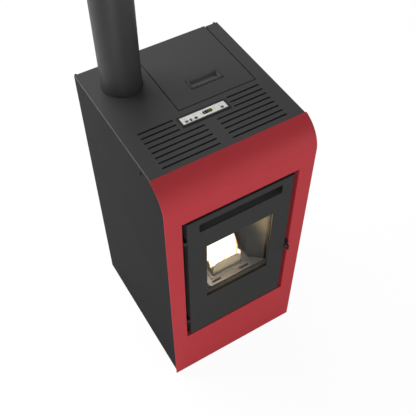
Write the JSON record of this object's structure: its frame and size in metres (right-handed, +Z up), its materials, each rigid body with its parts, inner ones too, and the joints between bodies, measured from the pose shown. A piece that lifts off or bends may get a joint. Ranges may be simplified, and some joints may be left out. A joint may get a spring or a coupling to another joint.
{
  "type": "pellet stove",
  "caption": "Free-standing pellet stove: bent red sheet front, glazed black door, dark casing, hopper lid and vent slots in the top, round flue pipe, full feed and fan works inside.",
  "frame": {"origin": "on the floor under the middle of the casing", "axes": "+Z up, the front with the door faces -Y, +X is to the right of someone facing the door"},
  "size_m": [0.4948, 0.581, 1.529],
  "materials": {
    "red_enamel": "satin",
    "casing_paint": "satin",
    "door_paint": "satin",
    "flue_enamel": "satin",
    "chassis_paint": "matt",
    "fixing_steel": "satin",
    "zinc_sheet": "satin",
    "heat_iron": "matt",
    "fire_steel": "matt",
    "fire_board": "matt",
    "door_glass": "clear",
    "seal_rope": "matt",
    "cast_aluminium": "cast",
    "motor_shell": "satin",
    "black_plastic": "fine grain",
    "key_plastic": "matt",
    "label_film": "satin film",
    "display_plastic": "gloss",
    "board_resin": "lacquered"
  },
  "bodies": {
    "casing": {"front_panel": "red_enamel", "side_panel_left": "casing_paint", "side_panel_right": "casing_paint", "top_plate": "casing_paint", "rear_panel": "casing_paint", "base_plate": "chassis_paint", "front_frame": "chassis_paint", "casing_screws": "fixing_steel", "door_hinge_brackets": "chassis_paint", "latch_keeper": "fixing_steel", "firebox": "fire_steel", "side_liners": "fire_board", "back_liner": "fire_board", "baffle": "fire_board", "pot_support": "fire_steel", "ash_drawer": "zinc_sheet", "igniter": "fixing_steel", "exchanger_tubes": "fire_steel", "air_plenum": "zinc_sheet", "convection_housing": "zinc_sheet", "convection_motor": "motor_shell", "smoke_duct": "fire_steel", "exhaust_housing": "cast_aluminium", "exhaust_motor": "motor_shell", "flue_riser": "fire_steel", "flue_pipe": "flue_enamel", "hopper": "zinc_sheet", "hopper_grille": "fixing_steel", "pellet_chute": "fire_steel", "auger_tube": "zinc_sheet", "auger_motor": "motor_shell", "lid_hinge_leaves": "chassis_paint", "control_bezel": "black_plastic", "control_label": "label_film", "display_window": "display_plastic", "air_intake": "zinc_sheet", "power_inlet": "black_plastic", "control_board": "board_resin"},
    "door": {"door_panel": "door_paint", "door_frame": "heat_iron", "door_seal": "seal_rope", "door_glass": "door_glass", "glass_seal": "seal_rope", "glass_clips": "fixing_steel"},
    "latch": {"latch_lever": "door_paint"},
    "lid": {"hopper_lid": "casing_paint", "lid_pull": "black_plastic"},
    "feed_screw": {"auger_screw": "fixing_steel"},
    "smoke_wheel": {"exhaust_impeller": "fixing_steel"},
    "air_wheel": {"convection_impeller": "cast_aluminium"},
    "pot": {"burn_pot": "heat_iron"},
    "rocker": {"power_rocker": "black_plastic"},
    "key_a": {"key_1": "key_plastic"},
    "key_b": {"key_2": "key_plastic"},
    "key_c": {"key_3": "key_plastic"},
    "key_d": {"key_4": "key_plastic"},
    "foot_a": {"foot_front_left": "fixing_steel"},
    "foot_b": {"foot_front_right": "fixing_steel"},
    "foot_c": {"foot_rear_left": "fixing_steel"},
    "foot_d": {"foot_rear_right": "fixing_steel"}
  },
  "joints": [
    {"name": "door_hinge", "type": "hinge", "parent": "casing", "child": "door", "pos_m": [-0.186, -0.2645, 0.56], "axis": [0, 0, -1], "range_deg": [0, 100]},
    {"name": "latch_turn", "type": "hinge", "parent": "door", "child": "latch", "pos_m": [0.183, -0.264, 0.52], "axis": [1, 0, 0], "range_deg": [0, 30]},
    {"name": "lid_hinge", "type": "hinge", "parent": "casing", "child": "lid", "pos_m": [0.0735, 0.279, 1.019], "axis": [-1, 0, 0], "range_deg": [0, 95]},
    {"name": "auger_spin", "type": "hinge", "parent": "casing", "child": "feed_screw", "pos_m": [0, 0.1845, 0.47], "axis": [0, -0.7071, 0.7071], "continuous": true},
    {"name": "smoke_fan_spin", "type": "hinge", "parent": "casing", "child": "smoke_wheel", "pos_m": [-0.171, 0.168, 0.15], "axis": [0, 1, 0], "continuous": true},
    {"name": "air_fan_spin", "type": "hinge", "parent": "casing", "child": "air_wheel", "pos_m": [0.105, 0.0295, 0.15], "axis": [1, 0, 0], "continuous": true},
    {"name": "pot_lift", "type": "slide", "parent": "casing", "child": "pot", "axis": [0, 0, 1], "range_m": [0, 0.08]},
    {"name": "rocker_tilt", "type": "hinge", "parent": "casing", "child": "rocker", "pos_m": [0.175, 0.269, 0.10248], "axis": [1, 0, 0], "range_deg": [0, 16]},
    {"name": "key_a_press", "type": "slide", "parent": "casing", "child": "key_a", "axis": [0, 0, -1], "range_m": [0, 0.0008], "stiffness_N_per_m": 300},
    {"name": "key_b_press", "type": "slide", "parent": "casing", "child": "key_b", "axis": [0, 0, -1], "range_m": [0, 0.0008], "stiffness_N_per_m": 300},
    {"name": "key_c_press", "type": "slide", "parent": "casing", "child": "key_c", "axis": [0, 0, -1], "range_m": [0, 0.0008], "stiffness_N_per_m": 300},
    {"name": "key_d_press", "type": "slide", "parent": "casing", "child": "key_d", "axis": [0, 0, -1], "range_m": [0, 0.0008], "stiffness_N_per_m": 300},
    {"name": "foot_a_turn", "type": "hinge", "parent": "casing", "child": "foot_a", "pos_m": [-0.2, -0.2005, 0.004], "axis": [0, 0, 1], "continuous": true},
    {"name": "foot_b_turn", "type": "hinge", "parent": "casing", "child": "foot_b", "pos_m": [0.2, -0.2005, 0.004], "axis": [0, 0, 1], "continuous": true},
    {"name": "foot_c_turn", "type": "hinge", "parent": "casing", "child": "foot_c", "pos_m": [-0.2, 0.1995, 0.004], "axis": [0, 0, 1], "continuous": true},
    {"name": "foot_d_turn", "type": "hinge", "parent": "casing", "child": "foot_d", "pos_m": [0.2, 0.1995, 0.004], "axis": [0, 0, 1], "continuous": true}
  ]
}
